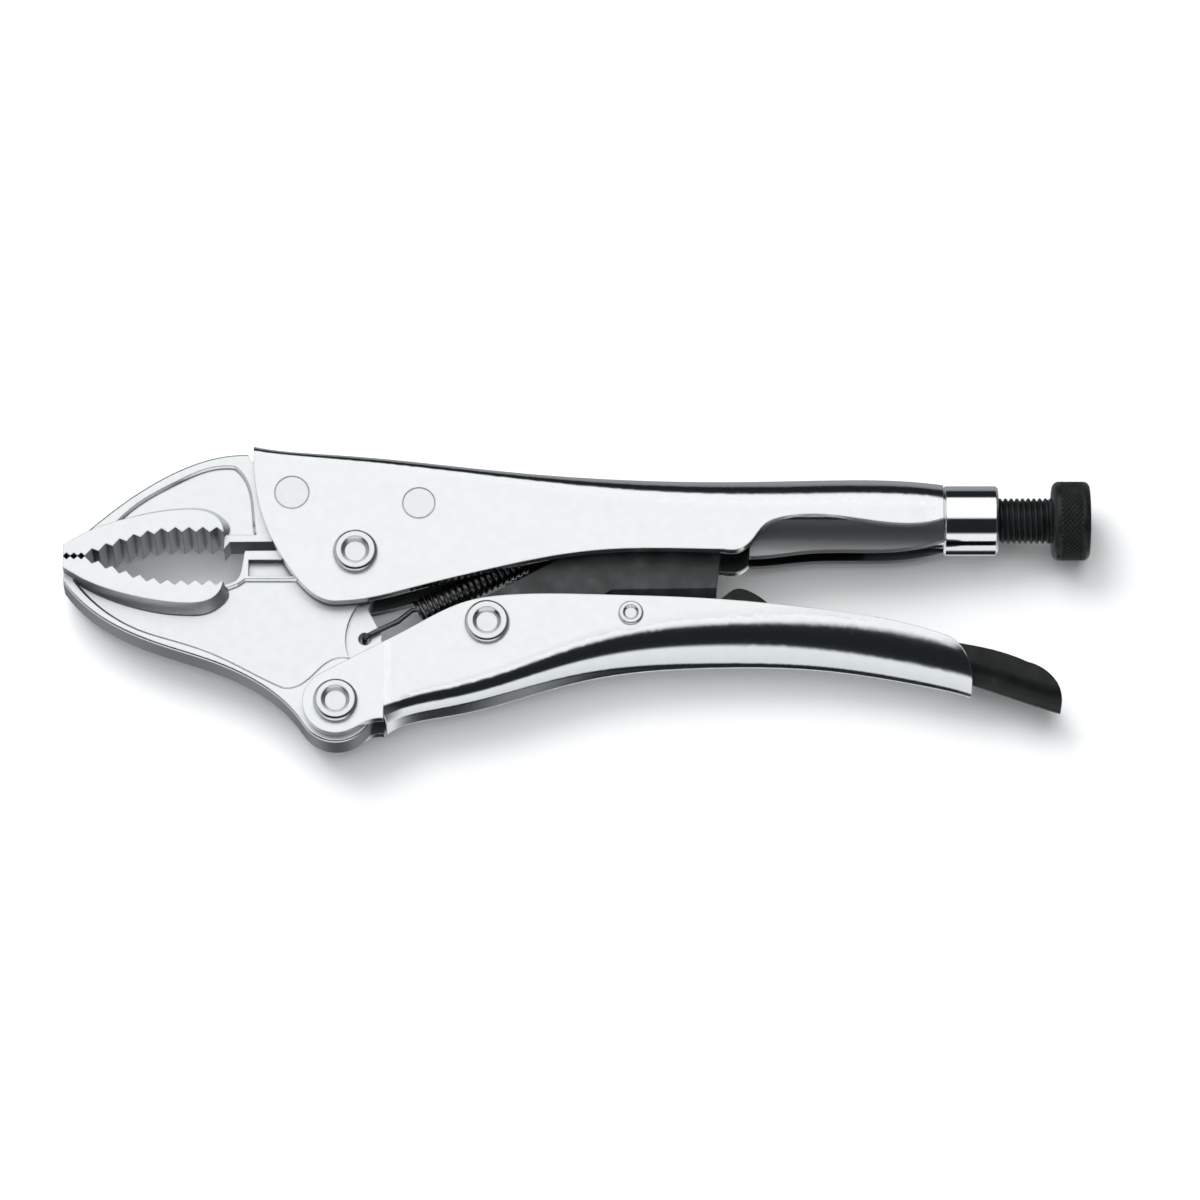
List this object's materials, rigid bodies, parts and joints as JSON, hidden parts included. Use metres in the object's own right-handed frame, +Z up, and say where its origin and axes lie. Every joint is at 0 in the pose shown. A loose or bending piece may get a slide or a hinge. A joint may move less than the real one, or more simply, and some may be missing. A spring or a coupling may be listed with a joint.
{
  "type": "locking pliers",
  "caption": "Locking pliers with curved toothed jaws, a toggle link, an adjusting screw with a knurled knob, a release lever and a spring, lying closed on their side.",
  "frame": {"origin": "under the middle of the closed tool's bounding box, on the surface it lies on", "axes": "+X from the jaw tips to the screw knob, +Y from the lower handle to the upper handle, +Z up through the tool's thickness"},
  "size_m": [0.2246, 0.068, 0.0178],
  "materials": {
    "handle_steel": "satin chrome plate on pressed sheet steel",
    "jaw_steel": "satin chrome plate on forged steel",
    "rivet_steel": "bright chrome plate",
    "nut_steel": "polished chrome plate",
    "black_oxide": "black oxide finish, slightly glossy",
    "spring_steel": "drawn spring wire"
  },
  "bodies": {
    "handle": {"upper_handle": "handle_steel", "end_nut": "nut_steel", "fixed_jaw": "jaw_steel", "fixed_jaw_front_rivet": "rivet_steel", "fixed_jaw_rear_rivet": "rivet_steel", "main_pivot_rivet": "rivet_steel"},
    "jaw": {"movable_jaw": "jaw_steel", "jaw_spring": "spring_steel"},
    "lower_handle": {"lower_handle": "handle_steel", "lower_pivot_rivet": "rivet_steel", "toggle_rivet": "rivet_steel", "lever_rivet": "rivet_steel"},
    "toggle_link": {"toggle_link": "black_oxide"},
    "release_lever": {"release_lever": "black_oxide"},
    "screw_carrier": {"screw_nose": "black_oxide"},
    "screw": {"adjusting_screw": "black_oxide", "knurled_knob": "black_oxide"}
  },
  "joints": [
    {"name": "jaw_hinge", "type": "hinge", "parent": "handle", "child": "jaw", "pos_m": [-0.0485, 0.0088, 0.0089], "axis": [0, 0, 1], "range_deg": [0, 22], "deforming": ["jaw_spring"]},
    {"name": "lower_handle_hinge", "type": "hinge", "parent": "jaw", "child": "lower_handle", "pos_m": [-0.0525, -0.0255, 0.0089], "axis": [0, 0, 1], "range_deg": [-61, 0]},
    {"name": "toggle_link_hinge", "type": "hinge", "parent": "lower_handle", "child": "toggle_link", "pos_m": [-0.0197, -0.0075, 0.0089], "axis": [0, 0, 1], "range_deg": [0, 69]},
    {"name": "release_lever_hinge", "type": "hinge", "parent": "lower_handle", "child": "release_lever", "pos_m": [0.0116, -0.0058, 0.0089], "axis": [0, 0, 1], "range_deg": [0, 4.5]},
    {"name": "screw_travel", "type": "slide", "parent": "handle", "child": "screw_carrier", "axis": [1, 0, 0], "range_m": [0, 0.01]},
    {"name": "screw_turn", "type": "hinge", "parent": "screw_carrier", "child": "screw", "pos_m": [0.1039, 0.0183, 0.0089], "axis": [1, 0, 0], "range_deg": [0, 2881]}
  ],
  "couplings": [
    {"joint": "lower_handle_hinge", "follows": "jaw_hinge", "ratio": -2.755},
    {"joint": "toggle_link_hinge", "follows": "jaw_hinge", "ratio": 3.109},
    {"joint": "screw_turn", "follows": "screw_travel", "rad_per_m": 5026.5}
  ]
}
